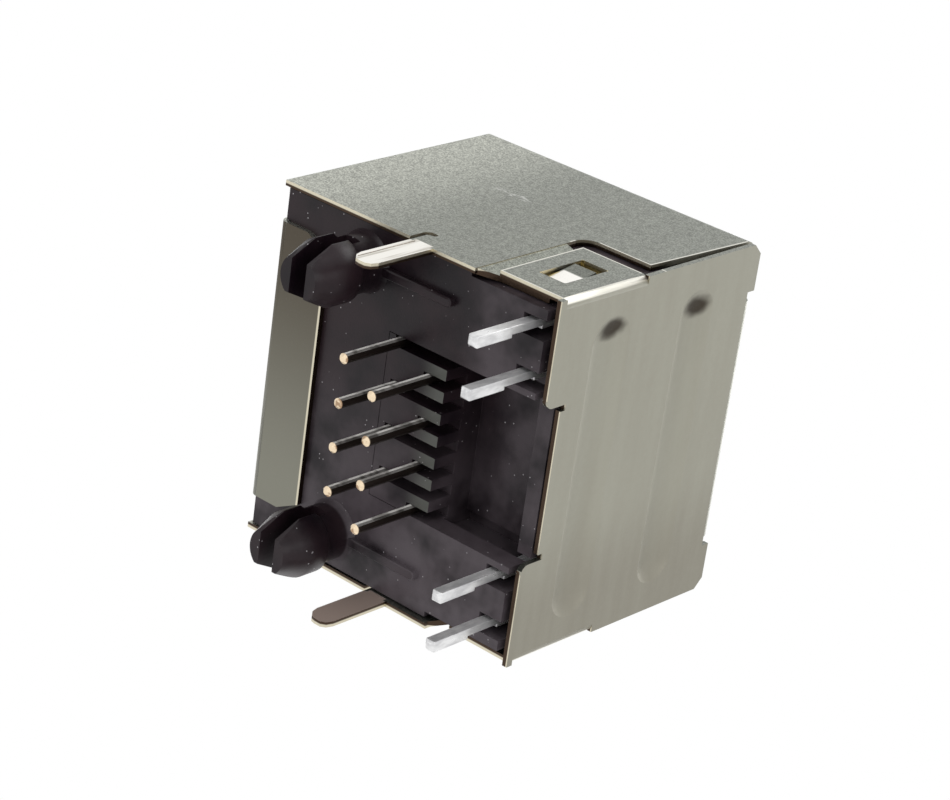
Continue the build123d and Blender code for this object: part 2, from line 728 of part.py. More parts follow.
def build_contact(index):
    """Spring wire: tail, bend, run, hairpin and rising free end."""
    x = contact_x(index)
    y = tail_y(index)
    tip = Vector(x, y, TAIL_TIP)
    knee = Vector(x, y, RUN_Z - TAIL_BEND_R)
    run = Vector(x, y - TAIL_BEND_R, RUN_Z)
    turn = Vector(x, HAIRPIN_Y, RUN_Z)
    front = Vector(x, HAIRPIN_Y - HAIRPIN_R, HAIRPIN_Z)
    lift = Vector(x, LIFT_Y, LIFT_Z)
    free = Vector(x, FREE_END_Y, FREE_END_Z)
    inset = TAIL_BEND_R * (1 - math.sin(math.radians(45)))
    bend = Vector(x, y - inset, RUN_Z - inset)
    path = (
        Line(tip, knee)
        + ThreePointArc(knee, bend, run)
        + Line(run, turn)
        + ThreePointArc(turn, front, lift)
        + Line(lift, free)
    )
    sides = RegularPolygon(WIRE_R, WIRE_SIDES, major_radius=False, rotation=180 / WIRE_SIDES)
    wire = sweep(Plane(origin=tip, z_dir=(0, 0, 1)) * sides, path=path)
    return chamfer(wire.faces().sort_by(Axis.Z)[0].edges(), WIRE_TIP)


def build_carrier(contacts):
    """Contact carrier: floor slab, comb below, tower behind the mouth and low rear wall."""
    comb_x = RAIL_X - CARRIER_GAP
    slab = block(-CARRIER_X, CARRIER_X, CARRIER_FRONT, RECESS_Y0, CARRIER_Z0, MOUTH_Z0)
    comb = block(-comb_x, comb_x, COMB_FRONT, RECESS_Y0, UNDERSIDE, CARRIER_Z0 + BITE)
    tower = block(-comb_x, comb_x, MOUTH_REAR, HOUSE_REAR, RECESS_Z, CARRIER_TOP)
    wall = block(-LOW_WALL_X, LOW_WALL_X, RECESS_Y1, HOUSE_REAR, LOW_WALL_Z, RECESS_Z + BITE)
    pad = block(-LOW_WALL_X, LOW_WALL_X, RECESS_Y1, LOW_WALL_REAR, LOW_WALL_Z, LOW_WALL_TOP)
    carrier = slab + comb + tower + wall + pad
    for index in range(8):
        x = contact_x(index)
        y = tail_y(index)
        half = WIRE_R + WIRE_GAP
        slot_half = (PITCH - COMB_RIB_W) / 2
        slot_0 = max(x - slot_half, -RAIL_X) if index < 7 else -RAIL_X
        slot_1 = min(x + slot_half, RAIL_X) if index > 0 else RAIL_X
        below = block(slot_0, slot_1, y - SLOT_LEAD, RECESS_Y0 + BEYOND, -BEYOND, COMB_SLOT_Z)
        ahead = block(
            x - half,
            x + half,
            CARRIER_FRONT - BEYOND,
            CARRIER_FRONT + GRIP_BACK,
            RUN_Z - WIRE_R,
            MOUTH_Z0 + BEYOND,
        )
        bend = block(
            x - half, x + half, y - TAIL_BEND_R, y + half, COMB_SLOT_Z - BITE, RUN_Z + half
        )
        rest = block(
            x - half,
            x + half,
            MOUTH_REAR - BEYOND,
            FREE_END_Y + REST_BACK,
            FREE_END_Z - REST_BELOW,
            FREE_END_Z + REST_ABOVE,
        )
        carrier = carrier - below - ahead - bend - rest
    for x in LEAD_X:
        carrier = carrier - both_sides(build_groove(x))
    for contact in contacts:
        carrier = carrier - contact
    return carrier


def build_lead(x):
    """Square lamp lead along the top, bent down behind the housing."""
    path = FilletPolyline(
        (LED_REAR - LEAD_EMBED, LEAD_Z),
        (LEAD_Y, LEAD_Z),
        (LEAD_Y, LEAD_TIP),
        radius=LEAD_BEND_OUT - LEAD / 2,
    )
    edge = x - LEAD / 2
    lead = Pos(edge, 0, 0) * extrude(Plane.YZ * trace(path, line_width=LEAD), amount=LEAD)
    neck = block(
        edge - BEYOND,
        edge + LEAD - LEAD_NECK_W,
        LEAD_Y - LEAD,
        LEAD_Y + LEAD,
        LEAD_NECK_Z,
        UNDERSIDE + LEAD_NECK_UP,
    )
    lead = lead - neck
    return chamfer(lead.faces().sort_by(Axis.Z)[0].edges(), LEAD_CHAMFER)


def build_led(side, leads):
    """Lamp body of one side, moulded round the ends of its two leads."""
    x = side * LED_X
    body = block(x - LED_W / 2, x + LED_W / 2, RIM_Y, LED_REAR, LED_Z0, LED_Z1)
    body = fillet(body.edges().filter_by(Axis.Y).group_by(Axis.Z)[-1], LED_R)
    for lead in leads:
        body = body - lead
    return body


contacts = [build_contact(index) for index in range(8)]
lead_inner, lead_outer = LEAD_X
left_leads = [build_lead(-lead_outer), build_lead(-lead_inner)]
right_leads = [build_lead(lead_inner), build_lead(lead_outer)]

export_step(build_shield(), "parts/shield.step")
export_step(build_housing(), "parts/housing.step")
export_step(build_carrier(contacts), "parts/contact_carrier.step")
for index, contact in enumerate(contacts):
    export_step(contact, f"parts/contact_{index + 1}.step")
export_step(build_led(-1, left_leads), "parts/led_left.step")
export_step(build_led(1, right_leads), "parts/led_right.step")
export_step(left_leads[0], "parts/led_lead_left_outer.step")
export_step(left_leads[1], "parts/led_lead_left_inner.step")
export_step(right_leads[0], "parts/led_lead_right_inner.step")
export_step(right_leads[1], "parts/led_lead_right_outer.step")
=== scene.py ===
import logging
import math
from dataclasses import dataclass
from enum import Enum
from typing import Any, Mapping, Optional, Sequence, Union

import bmesh
import bpy
from mathutils import Euler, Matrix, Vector


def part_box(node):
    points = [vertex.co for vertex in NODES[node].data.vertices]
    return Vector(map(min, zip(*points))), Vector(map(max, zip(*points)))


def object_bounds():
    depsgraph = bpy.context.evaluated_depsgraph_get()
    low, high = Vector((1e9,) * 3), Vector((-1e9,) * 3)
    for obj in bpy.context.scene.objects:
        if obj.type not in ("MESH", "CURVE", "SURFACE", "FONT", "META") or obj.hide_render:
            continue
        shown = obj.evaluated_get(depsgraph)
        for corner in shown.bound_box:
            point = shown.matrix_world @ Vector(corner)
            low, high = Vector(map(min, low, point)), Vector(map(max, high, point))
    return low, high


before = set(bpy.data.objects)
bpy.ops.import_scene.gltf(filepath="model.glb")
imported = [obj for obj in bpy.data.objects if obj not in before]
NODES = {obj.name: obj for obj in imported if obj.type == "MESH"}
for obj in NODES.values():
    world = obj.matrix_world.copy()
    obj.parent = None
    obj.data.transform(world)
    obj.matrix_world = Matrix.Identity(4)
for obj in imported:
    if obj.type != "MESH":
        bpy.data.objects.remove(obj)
CAD_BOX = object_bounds()
LOG = logging.getLogger("board_jack")

MM = 0.001
HAIR = 0.02 * MM
FINE = 0.05 * MM
SOFT = 0.1 * MM
NOISE_MEAN = 0.5
MIX_INPUTS = (0, 6, 7)
MIX_RESULT = 2
Number = Union[int, float]
Colour = tuple[float, float, float]
Place = tuple[float, float, float]
Span = tuple[float, float]


class Kind(Enum):
    """Which of a shader socket's three kinds of value a wrapped socket carries."""

    VALUE = "value"
    VECTOR = "vector"
    COLOUR = "colour"


class Sock:
    """An output socket of a node tree that takes part in Python expressions."""

    def __init__(self, graph: "Graph", socket: Any, kind: Kind = Kind.VALUE) -> None:
        """Wraps one output.

        Args:
            graph: The graph that new nodes are added to.
            socket: The Blender output socket.
            kind: What the socket carries.
        """
        self.graph = graph
        self.socket = socket
        self.kind = kind

    def _do(self, operation: str, *others: Union["Sock", Number, Sequence[float]]) -> "Sock":
        """Adds the node of one operation.

        Args:
            operation: The name of the Math or Vector Math operation.
            others: The further operands, in socket order.

        Returns:
            The node's result.
        """
        if self.kind is Kind.VECTOR:
            node = self.graph.add("ShaderNodeVectorMath", {"operation": operation}, [self, *others])
            return Sock(self.graph, node.outputs["Vector"], Kind.VECTOR)
        node = self.graph.add("ShaderNodeMath", {"operation": operation}, [self, *others])
        return Sock(self.graph, node.outputs[0])

    def __add__(self, other: Union["Sock", Number, Sequence[float]]) -> "Sock":
        """self + other."""
        return self._do("ADD", other)

    def __mul__(self, other: Union["Sock", Number, Sequence[float]]) -> "Sock":
        """self * other."""
        return self._do("MULTIPLY", other)

    def __sub__(self, other: Union["Sock", Number, Sequence[float]]) -> "Sock":
        """self - other."""
        return self._do("SUBTRACT", other)

    def __truediv__(self, other: Union["Sock", Number]) -> "Sock":
        """self / other."""
        return self._do("DIVIDE", other)

    def __rsub__(self, other: Number) -> "Sock":
        """other - self."""
        return (self * -1.0) + other

    __radd__ = __add__
    __rmul__ = __mul__

    def power(self, exponent: Number) -> "Sock":
        """self raised to a constant power."""
        return self._do("POWER", exponent)

    def size(self) -> "Sock":
        """The value without its sign."""
        return self._do("ABSOLUTE")

    def larger(self, other: Union["Sock", Number]) -> "Sock":
        """The larger of two values, which joins two masks."""
        return self._do("MAXIMUM", other)

    def above(self, edge: float, blend: float) -> "Sock":
        """A soft step.

        Args:
            edge: Where the step is half way up.
            blend: How wide the step is.

        Returns:
            A mask that is 1 well above the edge and 0 well below it.
        """
        low = edge - blend / 2
        high = edge + blend / 2
        inputs = {"Value": self, "From Min": low, "From Max": high}
        node = self.graph.add("ShaderNodeMapRange", {"interpolation_type": "SMOOTHSTEP"}, inputs)
        return Sock(self.graph, node.outputs["Result"])

    def below(self, edge: float, blend: float) -> "Sock":
        """The soft step turned round: 1 below the edge."""
        return 1.0 - self.above(edge, blend)


class Graph:
    """The node tree of one material or of the world."""

    def __init__(self, tree: bpy.types.NodeTree) -> None:
        """Empties the tree and keeps it."""
        self.tree = tree
        tree.nodes.clear()

    def add(
        self,
        kind: str,
        settings: Optional[Mapping[str, Any]] = None,
        inputs: Union[Mapping[str, Any], Sequence[Any], None] = None,
    ) -> bpy.types.Node:
        """Adds any node: its type and settings first, then its values and links.

        Args:
            kind: The node's type name.
            settings: Properties of the node, set before its sockets.
            inputs: Socket values or links, by name or in order.

        Returns:
            The new node.
        """
        node = self.tree.nodes.new(kind)
        for name, value in (settings or {}).items():
            setattr(node, name, value)
        pairs = inputs.items() if isinstance(inputs, Mapping) else enumerate(inputs or ())
        for key, value in pairs:
            if isinstance(value, Sock):
                self.tree.links.new(value.socket, node.inputs[key])
            elif isinstance(value, bpy.types.NodeSocket):
                self.tree.links.new(value, node.inputs[key])
            else:
                node.inputs[key].default_value = value
        return node

    def place(self) -> Sock:
        """The object coordinates, in metres."""
        node = self.add("ShaderNodeTexCoord")
        return Sock(self, node.outputs["Object"], Kind.VECTOR)

    def facing(self) -> Sock:
        """The surface normal in the object's own axes."""
        node = self.add("ShaderNodeTexCoord")
        return Sock(self, node.outputs["Normal"], Kind.VECTOR)

    def axes(self, vector: Sock) -> tuple[Sock, Sock, Sock]:
        """The three components of a vector."""
        node = self.add("ShaderNodeSeparateXYZ", None, [vector])
        return tuple(Sock(self, output) for output in node.outputs)

    def stretched(self, vector: Sock, scale: Sequence[float]) -> Sock:
        """A vector stretched along the axes."""
        node = self.add("ShaderNodeMapping", None, {"Vector": vector, "Scale": scale})
        return Sock(self, node.outputs["Vector"], Kind.VECTOR)

    def noise(self, vector: Sock, grain: float, detail: float = 3.0, rough: float = 0.55) -> Sock:
        """Cloudy noise between 0 and 1.

        Args:
            vector: The place that the noise is read at.
            grain: The size of its largest lumps, in millimetres.
            detail: How many finer octaves are added.
            rough: How strong the finer octaves are.

        Returns:
            The noise value.
        """
        inputs = {"Vector": vector, "Scale": 1.0 / (grain * MM), "Detail": detail, "Roughness": rough}
        node = self.add("ShaderNodeTexNoise", None, inputs)
        return Sock(self, node.outputs["Fac"])

    def cells(self, vector: Sock, grain: float) -> Sock:
        """Distance to the nearest of a scatter of points, in cells.

        Args:
            vector: The place that the pattern is read at.
            grain: The cell size, in millimetres.

        Returns:
            The distance.
        """
        node = self.add("ShaderNodeTexVoronoi", None, {"Vector": vector, "Scale": 1.0 / (grain * MM)})
        return Sock(self, node.outputs["Distance"])

    def mix(self, amount: Union[Sock, float], first: Any, second: Any) -> Sock:
        """Blends two colours.

        Args:
            amount: How much of the second colour shows.
            first: The colour at 0.
            second: The colour at 1.

        Returns:
            The blended colour.
        """
        node = self.add("ShaderNodeMix", {"data_type": "RGBA"})
        for index, value in zip(MIX_INPUTS, (amount, first, second)):
            socket = node.inputs[index]
            if isinstance(value, Sock):
                self.tree.links.new(value.socket, socket)
            elif isinstance(value, tuple):
                socket.default_value = (*value, 1.0)
            else:
                socket.default_value = value
        return Sock(self, node.outputs[MIX_RESULT], Kind.COLOUR)

    def bump(self, height: Sock, depth: float) -> Sock:
        """A bump that feeds Normal.

        Args:
            height: The height pattern, from 0 to 1.
            depth: Its depth, in millimetres.

        Returns:
            The bent normal.
        """
        node = self.add("ShaderNodeBump", None, {"Strength": 1.0, "Distance": depth * MM, "Height": height})
        return Sock(self, node.outputs["Normal"], Kind.VECTOR)

    def surface(self, shader: bpy.types.Node) -> None:
        """Makes a shader node the tree's surface."""
        self.add("ShaderNodeOutputMaterial", None, {"Surface": shader.outputs[0]})


def new_material(name: str) -> tuple[bpy.types.Material, Graph]:
    """Starts a material with an empty node tree.

    Args:
        name: The material's name.

    Returns:
        The material, and the graph that is to be filled.
    """
    material = bpy.data.materials.new(name)
    material.use_nodes = True
    return material, Graph(material.node_tree)


@dataclass(frozen=True)
class NickelSheet:
    """Nickel-plated sheet: sandy walls, a smooth rear cover and lip, bright tabs and two-tone cut faces, with
    painted light: walls lighter towards the mouth, painted shade on the cover's -X end, the lip's +X end, the
    rib ends and the window, painted highlights on the tabs, the latch barb, the rims and the edges, and a
    painted dark reflection on the cut faces.

    Colours come first, then places and widths on the sheet in millimetres, then how strongly each
    mark shows, from 0 to 1.
    """

    wall: Colour = (0.315, 0.330, 0.287)
    wall_dark: Colour = (0.060, 0.062, 0.053)
    wall_painted_light: Colour = (0.590, 0.605, 0.530)
    cover: Colour = (0.352, 0.345, 0.290)
    cover_dark: Colour = (0.255, 0.238, 0.195)
    lip: Colour = (0.222, 0.220, 0.182)
    lip_painted_shade: Colour = (0.085, 0.072, 0.055)
    tab: Colour = (0.900, 0.880, 0.820)
    tab_dark: Colour = (0.560, 0.530, 0.460)
    tab_inner_painted_light: Colour = (0.420, 0.330, 0.285)
    tooth: Colour = (0.950, 0.930, 0.880)
    brass: Colour = (0.620, 0.520, 0.260)
    rim_painted_highlight: Colour = (0.640, 0.590, 0.460)
    cut_face_painted_reflection: Colour = (0.060, 0.040, 0.028)
    painted_rib_end_shade: Colour = (0.034, 0.025, 0.017)
    scuff: Colour = (0.620, 0.620, 0.590)
    edge_painted_highlight: Colour = (0.860, 0.840, 0.760)

    sheet: float = 0.25
    wall_depth: float = 0.90
    plate_depth: float = 0.75
    top_depth: float = 0.60
    middle_x: float = 7.00
    lip_top: float = 0.40
    lip_rear: float = -1.99
    lip_rim: float = 0.11
    side_rim: float = 0.13
    rear_rim: float = 0.06
    tab_top: float = -0.04
    tab_span: Span = (2.80, 3.78)
    crease_z: Span = (-3.40, 0.20)
    window_y: Span = (7.96, 9.36)
    window_z: Span = (2.10, 4.86)
    glint_y: float = 8.15
    glint_z: Span = (2.35, 3.45)
    catch_z: float = 3.20
    strip_z: float = 4.30
    line: float = 0.07
    flap_y: Span = (7.00, 6.31)
    flap_z: tuple[float, float, float] = (0.78, 6.00, 7.05)
    cut_corner: float = 0.70
    wall_rear: Span = (9.85, 0.40)
    side_skin: float = 0.10
    bend_x: float = 0.45
    bend_y: float = 0.60
    rib_ends: tuple[Span, ...] = ((6.35, 4.20), (6.12, 9.92))
    mark_radius: float = 0.56
    mark_squeeze: Span = (1.25, 0.85)
    mark_ragged: float = 0.40
    scratch_at: Span = (1.00, 8.15)
    scratch_half: Span = (1.40, 0.34)

    sand_share: float = 0.54
    lump_share: float = 0.20
    painted_shade_and_brushing_share: float = 0.60
    rib_end_shade_share: float = 0.92
    scratch_share: float = 0.55
    line_share: float = 0.85
    window_shade: float = 0.35
    glint_share: float = 0.40
    calm_share: float = 0.92
    painted_light_diffuse_share: float = 0.40

    def band(self, along: Sock, span: Span, blend: float = 0.05) -> Sock:
        """A mask that is 1 between two places on an axis, all in millimetres."""
        return along.above(span[0] * MM, blend * MM) * along.below(span[1] * MM, blend * MM)

    def faces(self, along: Sock, edge: float = 0.5) -> Sock:
        """A mask that is 1 where the surface looks either way along an axis of its normal."""
        return along.size().above(edge, blend=0.2)

    def areas(self, graph: Graph, place: Sock, normal: Sock) -> dict[str, Sock]:
        """Tells the areas of the sheet apart.

        Args:
            graph: The material's graph.
            place: Object coordinates.
            normal: The normal in the object's axes.

        Returns:
            Masks that are 1 on the rear cover, lip, tabs, teeth and cut faces.
        """
        low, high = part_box("shield")
        nx, ny, nz = graph.axes(normal)
        x, y, z = self.faces(nx), self.faces(ny), self.faces(nz)
        px, py, pz = graph.axes(place)
        out = px.size()
        outer = out.above(high.x - self.wall_depth * MM, SOFT)
        middle = out.below(self.middle_x * MM, SOFT)
        wall = outer * x
        rear = py.above(high.y - self.plate_depth * MM, SOFT) * y
        front = py.below(low.y + self.plate_depth * MM, SOFT) * y
        top = pz.above(high.z - self.top_depth * MM, SOFT) * self.faces(nz, edge=0.4)
        lip = pz.below(self.lip_top * MM, FINE) * z * middle * py.below(0.0, SOFT)
        spring = middle * x
        window = self.band(py, self.window_y, blend=0.01) * self.band(pz, self.window_z, blend=0.01) * outer
        crease = self.band(py, self.tab_span) * self.band(pz, self.crease_z) * outer
        tab = (outer * pz.below(self.tab_top * MM, blend=0.12 * MM) * x).larger(crease)
        skin = wall.larger(rear).larger(front).larger(top).larger(lip).larger(spring)
        skin = skin.larger(window).larger(crease)
        fold = rear.larger(py.above(high.y - self.sheet * MM, HAIR))
        # Painted highlight: thin bright rims along the outer edges of the cut faces.
        side_rim = out.above(high.x - self.side_rim * MM, FINE) * (1.0 - fold)
        rear_rim = py.above(high.y - self.rear_rim * MM, blend=0.03 * MM)
        beside = py.below(self.glint_y * MM, blend=0.12 * MM)
        catch = beside * pz.below(self.catch_z * MM, blend=0.2 * MM)
        glint = self.band(pz, self.glint_z, blend=0.12) * py.above(self.glint_y * MM, blend=0.12 * MM)
        return {
            "cut": 1.0 - skin,
            "rim_painted_highlight": side_rim.larger(rear_rim),
            "rear": rear,
            "lip": lip,
            "lip_rim": lip * py.above((self.lip_rear - self.lip_rim) * MM, FINE),
            "tab": tab,
            "inner": (nx * px).below(0.0, blend=0.001 * MM) * tab,
            "window": window,
            "tooth": window * glint,
            "brass": window * catch.larger(pz.above(self.strip_z * MM, SOFT)),
        }

    def edge_lines(self, place: Sock, normal: Sock) -> Sock:
        """Painted highlights: thin bright lines round the flaps, the cut-outs and the bends of the rear
        cover.

        Args:
            place: Object coordinates.
            normal: The normal in the object's axes.

        Returns:
            A mask that is 1 on the lines.
        """
        graph = place.graph
        _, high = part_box("shield")
        nx, ny, _ = graph.axes(normal)
        px, py, pz = graph.axes(place)
        line = self.line
        (flap_y, cut_y), (flap_low, flap_top, cut_z) = self.flap_y, self.flap_z
        flap_side = self.band(py, (flap_y, flap_y + line)) * self.band(pz, (flap_low, flap_top))
        flap_foot = self.band(pz, (flap_low, flap_low + line))
        flap_head = self.band(pz, (flap_top - line, flap_top))
        flap = flap_side.larger(flap_foot.larger(flap_head) * py.above(flap_y * MM, HAIR))
        cut_side = self.band(py, (cut_y - line, cut_y)) * self.band(pz, (flap_top, cut_z - self.cut_corner))
        cut_top = self.band(pz, (cut_z, cut_z + line)) * py.above((cut_y + self.cut_corner) * MM, SOFT)
        rear_y, lean = self.wall_rear
        slope = py - (pz - cut_z * MM) * (lean / (high.z / MM - cut_z))
        rear = self.band(slope, (rear_y - line, rear_y)) * pz.above(cut_z * MM, SOFT)
        side = self.faces(nx, edge=0.8) * px.size().above(high.x - self.side_skin * MM, FINE)
        rounded = (nx.size() * ny.above(edge=0.2, blend=0.1)).above(edge=0.40, blend=0.20)
        bend = rounded * py.above(high.y - self.bend_y * MM, SOFT)
        bend = bend * px.size().above(high.x - self.bend_x * MM, FINE)
        return (flap.larger(cut_side).larger(cut_top).larger(rear) * side).larger(bend)

    def rib_end_painted_shading(self, graph: Graph, place: Sock) -> Sock:
        """Painted shade: soft dark brown patches at the +X ends of the ribs, where their rounded ends fall in
        shade.

        Args:
            graph: The material's graph.
            place: Object coordinates.

        Returns:
            A mask that is 1 in the middle of each mark.
        """
        ragged = (graph.noise(place, grain=0.60, detail=1.0) - NOISE_MEAN) * (self.mark_ragged * MM)
        px, _, pz = graph.axes(place)
        squeeze_x, squeeze_z = self.mark_squeeze
        marks = None
        for x, z in self.rib_ends:
            aside = (px - x * MM) * squeeze_x
            upward = (pz - z * MM) * squeeze_z
            away = (aside * aside + upward * upward).power(0.5) + ragged
            mark = away.below(edge=self.mark_radius * MM, blend=self.mark_radius * MM)
            marks = mark if marks is None else marks.larger(mark)
        return marks

    def scratches(self, graph: Graph, place: Sock) -> Sock:
        """A few short light scratches on the +X wall.

        Args:
            graph: The material's graph.
            place: Object coordinates.

        Returns:
            A mask that is 1 on the scratches.
        """
        px, py, pz = graph.axes(place)
        (mid_y, mid_z), (half_y, half_z) = self.scratch_at, self.scratch_half
        along = (py - mid_y * MM) / (half_y * MM)
        across = (pz - mid_z * MM) / (half_z * MM)
        inside = (along * along + across * across).below(edge=0.75, blend=0.5) * px.above(0.0, SOFT)
        strokes = graph.noise(graph.stretched(place, (1.0, 0.30, 1.0)), grain=0.34, detail=1.0)
        return inside * (strokes - NOISE_MEAN).size().below(edge=0.030, blend=0.03)

    def build(self) -> bpy.types.Material:
        """Lays the finishes of the areas over one another.

        Returns:
            The sheet's material.
        """
        material, graph = new_material("nickel_sheet")
        place = graph.place()
        px, py, _ = graph.axes(place)
        area = self.areas(graph, place, graph.facing())
        sand = graph.noise(place, grain=0.085, detail=2.0, rough=0.6)
        lumps = graph.noise(place, grain=0.30, detail=3.0, rough=0.65)
        brushed = graph.noise(graph.stretched(place, (0.10, 1.0, 1.0)), grain=0.8, detail=3.0)
        drawn = graph.noise(graph.stretched(place, (1.0, 1.0, 0.06)), grain=0.34, detail=2.0)
        calm = 1.0 - area["rear"].larger(area["lip"]).larger(area["tab"]) * self.calm_share
        dark = sand.above(edge=0.50, blend=0.24) * self.sand_share
        dark = dark + lumps.above(edge=0.50, blend=0.40) * self.lump_share
        # Painted light: the walls are painted lighter towards the mouth at -Y.
        painted_light_toward_mouth = py.below(edge=-1.0 * MM, blend=7.0 * MM)
        walls = graph.mix(dark, graph.mix(painted_light_toward_mouth, self.wall, self.wall_painted_light), self.wall_dark)
        # Painted shade: the rear cover is painted darker towards its -X end; the brushed noise on top is tone
        # variation of the sheet.
        worn = px.below(edge=-4.0 * MM, blend=5.0 * MM) * self.painted_shade_and_brushing_share
        worn = worn + (brushed - 0.4) * self.painted_shade_and_brushing_share
        cover = graph.mix(worn, self.cover, self.cover_dark)
        # Painted shade at the +X ends of the ribs.
        cover = graph.mix(self.rib_end_painted_shading(graph, place) * self.rib_end_shade_share, cover, self.painted_rib_end_shade)
        # Painted shade: the lip is painted darker towards +X.
        lip = graph.mix(px.above(edge=0.5 * MM, blend=13.0 * MM), self.lip, self.lip_painted_shade)
        # Painted highlight along the lip's rear rim.
        lip = graph.mix(area["lip_rim"], lip, self.rim_painted_highlight)
        # Painted highlight: the tabs are painted near white and their inner faces pale pinkish beige; both
        # are made less metallic so that they read brighter.
        tab = graph.mix(drawn.above(edge=0.52, blend=0.16), self.tab, self.tab_dark)
        tab = graph.mix(area["inner"], tab, self.tab_inner_painted_light)
        walls = graph.mix(self.scratches(graph, place) * self.scratch_share, walls, self.scuff)
        skin = graph.mix(area["rear"], walls, cover)
        skin = graph.mix(area["lip"], skin, lip)
        skin = graph.mix(area["tab"], skin, tab)
        lines = self.edge_lines(place, graph.facing())
        # Painted highlight along the flap, cut-out and bend edges.
        skin = graph.mix(lines * self.line_share, skin, self.edge_painted_highlight)
        skin = graph.mix(area["window"] * self.window_shade, skin, self.wall_dark)
        # Painted highlight: a near white glint on the latch barb.
        skin = graph.mix(area["tooth"], skin, self.tooth)
        skin = graph.mix(area["brass"], skin, self.brass)
        grains = sand.above(edge=0.66, blend=0.08) * self.glint_share
        skin = graph.mix(grains * calm, skin, self.scuff)
        # Cut faces: a painted dark reflection of the housing, with a painted highlight on their outer rim.
        cut = graph.mix(area["rim_painted_highlight"], self.cut_face_painted_reflection, self.rim_painted_highlight)
        base = graph.mix(area["cut"], skin, cut)
        rough = 0.30 + 0.16 * lumps + 0.10 * area["rear"]
        bump = graph.bump((sand * 0.7 + lumps * 0.3) * calm, depth=0.012)
        painted_light_diffuse = area["tab"] * self.painted_light_diffuse_share + area["inner"] * self.painted_light_diffuse_share
        inputs = {"Base Color": base, "Metallic": 1.0 - painted_light_diffuse, "Roughness": rough, "Normal": bump}
        graph.surface(graph.add("ShaderNodeBsdfPrincipled", None, inputs))
        return material


@dataclass(frozen=True)
class DieCutRim:
    """The bright burnished rim that the die leaves along a cut edge of the sheet."""

    bright: Colour = (0.95, 0.93, 0.86)
    worn: Colour = (0.62, 0.56, 0.44)

    def build(self) -> bpy.types.Material:
        """Mixes the bright and the worn rim.

        Returns:
            The rim's material.
        """
        material, graph = new_material("die_cut_rim")
        place = graph.place()
        wear = graph.noise(place, grain=0.9, detail=3.0)
        base = graph.mix(wear.above(edge=0.52, blend=0.3), self.bright, self.worn)
        inputs = {"Base Color": base, "Metallic": 1.0, "Roughness": 0.24 + 0.14 * wear}
        graph.surface(graph.add("ShaderNodeBsdfPrincipled", None, inputs))
        return material


@dataclass(frozen=True)
class BlackMoulding:
    """Black moulded plastic with a faint purple cast, soft sheen, a painted highlight on its -X side and rear
    recess, and sparse pale dust.

    The optional Y span gives where the painted highlight on the downward faces of the comb ribs starts and
    ends, in millimetres, or None without it.
    """

    name: str = "black_moulding"
    base: Colour = (0.0050, 0.0026, 0.0046)
    sheen: Colour = (0.0200, 0.0110, 0.0140)
    painted_haze_highlight: Colour = (0.095, 0.080, 0.090)
    dust: Colour = (0.50, 0.48, 0.50)
    comb_painted_highlight: Colour = (0.095, 0.098, 0.088)
    comb_highlight_y: Optional[Span] = None
    dust_share: float = 0.8
    shine: float = 0.24

    def build(self) -> bpy.types.Material:
        """Lays the painted highlights and the dust over the black.

        Returns:
            The moulding's material.
        """
        material, graph = new_material(self.name)
        place = graph.place()
        flow = graph.noise(place, grain=2.6, detail=3.0)
        grain = graph.noise(place, grain=0.10, detail=2.0, rough=0.6)
        patch = graph.noise(place, grain=1.5, detail=2.0)
        fleck = graph.cells(place, grain=0.36).below(edge=0.085, blend=0.03)
        fleck = fleck * patch.above(edge=0.50, blend=0.08)
        px, py, pz = graph.axes(place)
        # Painted highlight: pale cloudy patches on the -X side and in the rear recess, above the pegs.
        side = px.below(edge=-2.0 * MM, blend=10.0 * MM)
        side = side.larger(py.above(edge=6.5 * MM, blend=2.0 * MM) * 0.7)
        painted_haze_mask = side * pz.above(edge=0.0, blend=0.2 * MM) * flow.above(edge=0.45, blend=0.40)
        colour = graph.mix(flow.above(edge=0.5, blend=0.4), self.base, self.sheen)
        colour = graph.mix(painted_haze_mask, colour, self.painted_haze_highlight)
        if self.comb_highlight_y:
            # Painted highlight on the downward faces of the comb ribs.
            _, _, nz = graph.axes(graph.facing())
            fore, back = self.comb_highlight_y
            comb_painted_highlight = nz.below(edge=-0.5, blend=0.2) * py.above(fore * MM, blend=1.4 * MM)
            comb_painted_highlight = comb_painted_highlight * py.below(back * MM, HAIR) * pz.below(1.0 * MM, SOFT)
            colour = graph.mix(comb_painted_highlight, colour, self.comb_painted_highlight)
        base = graph.mix(fleck * self.dust_share, colour, self.dust)
        rough = 0.20 + 0.22 * flow + 0.10 * grain
        bump = graph.bump(grain * 0.6 + flow * 0.4, depth=0.008)
        inputs = {"Base Color": base, "Roughness": rough, "Normal": bump, "Specular IOR Level": self.shine}
        graph.surface(graph.add("ShaderNodeBsdfPrincipled", None, inputs))
        return material


